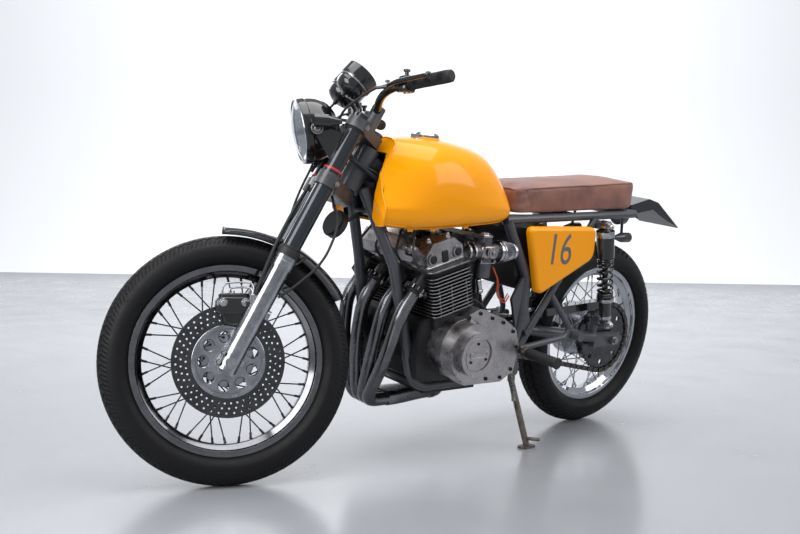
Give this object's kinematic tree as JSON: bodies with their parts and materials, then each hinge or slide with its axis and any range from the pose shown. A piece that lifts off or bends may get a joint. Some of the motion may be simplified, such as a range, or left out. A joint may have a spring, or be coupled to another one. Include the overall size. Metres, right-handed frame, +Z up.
{
  "type": "cafe racer motorcycle",
  "caption": "Road motorcycle with transverse engine, wire wheels, low bars and bench seat, parked leaning on its side stand with steering, wheels and stand that move.",
  "frame": {"origin": "bottom centre of the parked machine's box, on the floor", "axes": "+X towards the front, +Y to the rider's left, +Z up; the machine leans to +Y on its side stand"},
  "size_m": [2.093, 0.772, 1.1475],
  "materials": {
    "frame_paint": "satin slate grey paint",
    "black_paint": "gloss black paint",
    "fork_black": "dark gloss tube",
    "polished_alloy": "worn polished alloy",
    "engine_alloy": "aged cast alloy",
    "engine_black": "black finned castings",
    "chrome_plate": "chrome",
    "tank_paint": "gloss amber paint",
    "seat_leather": "brown leather",
    "tyre_rubber": "tyre rubber",
    "grip_rubber": "black rubber",
    "plastic_black": "black plastic",
    "exhaust_satin": "graphite grey coating",
    "chain_steel": "oily steel",
    "disc_steel": "ground steel",
    "lens_glass": "clear glass",
    "stand_rust": "rusty steel"
  },
  "bodies": {
    "chassis": {"frame_spine": "frame_paint", "frame_cradles": "frame_paint", "frame_tail": "frame_paint", "swing_arm": "frame_paint", "rear_axle": "polished_alloy", "shock_dampers": "black_paint", "shock_springs": "black_paint", "crankcase": "engine_black", "cylinder_block": "engine_black", "cylinder_head": "engine_black", "cam_cover": "engine_alloy", "generator_cover": "engine_alloy", "clutch_cover": "engine_alloy", "carburettors": "engine_alloy", "air_filters": "chrome_plate", "exhaust_headers": "exhaust_satin", "silencer": "exhaust_satin", "fuel_tank": "tank_paint", "fuel_cap": "chrome_plate", "seat": "seat_leather", "side_covers": "tank_paint", "battery_box": "plastic_black", "tail_bracket": "black_paint", "rear_lamps": "black_paint", "footpegs": "grip_rubber", "chain": "chain_steel", "chain_guard": "black_paint", "horn": "plastic_black", "stand_clevis": "frame_paint"},
    "steering": {"yokes": "frame_paint", "fork_tubes": "fork_black", "fork_sliders": "polished_alloy", "front_axle": "chrome_plate", "handlebar": "black_paint", "grips": "grip_rubber", "hand_controls": "black_paint", "headlight_shell": "black_paint", "headlight_lens": "lens_glass", "headlight_ears": "black_paint", "front_indicators": "black_paint", "gauges": "black_paint", "front_fender": "black_paint", "brake_caliper": "black_paint"},
    "front_wheel": {"front_tyre": "tyre_rubber", "front_rim": "chrome_plate", "front_hub": "polished_alloy", "front_disc": "disc_steel"},
    "rear_wheel": {"rear_tyre": "tyre_rubber", "rear_rim": "chrome_plate", "rear_hub": "polished_alloy", "rear_sprocket": "disc_steel"},
    "side_stand": {"side_stand": "stand_rust"}
  },
  "joints": [
    {"name": "steering", "type": "hinge", "parent": "chassis", "child": "steering", "pos_m": [0.44284, -0.00601, 0.75849], "axis": [-0.4622, 0.1311, 0.877], "range_deg": [-7, 63]},
    {"name": "front_wheel", "type": "hinge", "parent": "steering", "child": "front_wheel", "pos_m": [0.73945, -0.10277, 0.33179], "axis": [0.4163, 0.9053, 0.0841], "continuous": true},
    {"name": "rear_wheel", "type": "hinge", "parent": "chassis", "child": "rear_wheel", "pos_m": [-0.70834, -0.0708, 0.32501], "axis": [0, 0.989, -0.1478], "continuous": true},
    {"name": "side_stand", "type": "hinge", "parent": "chassis", "child": "side_stand", "pos_m": [-0.19431, 0.05686, 0.24553], "axis": [0, 0.989, -0.1478], "range_deg": [0, 100]}
  ]
}
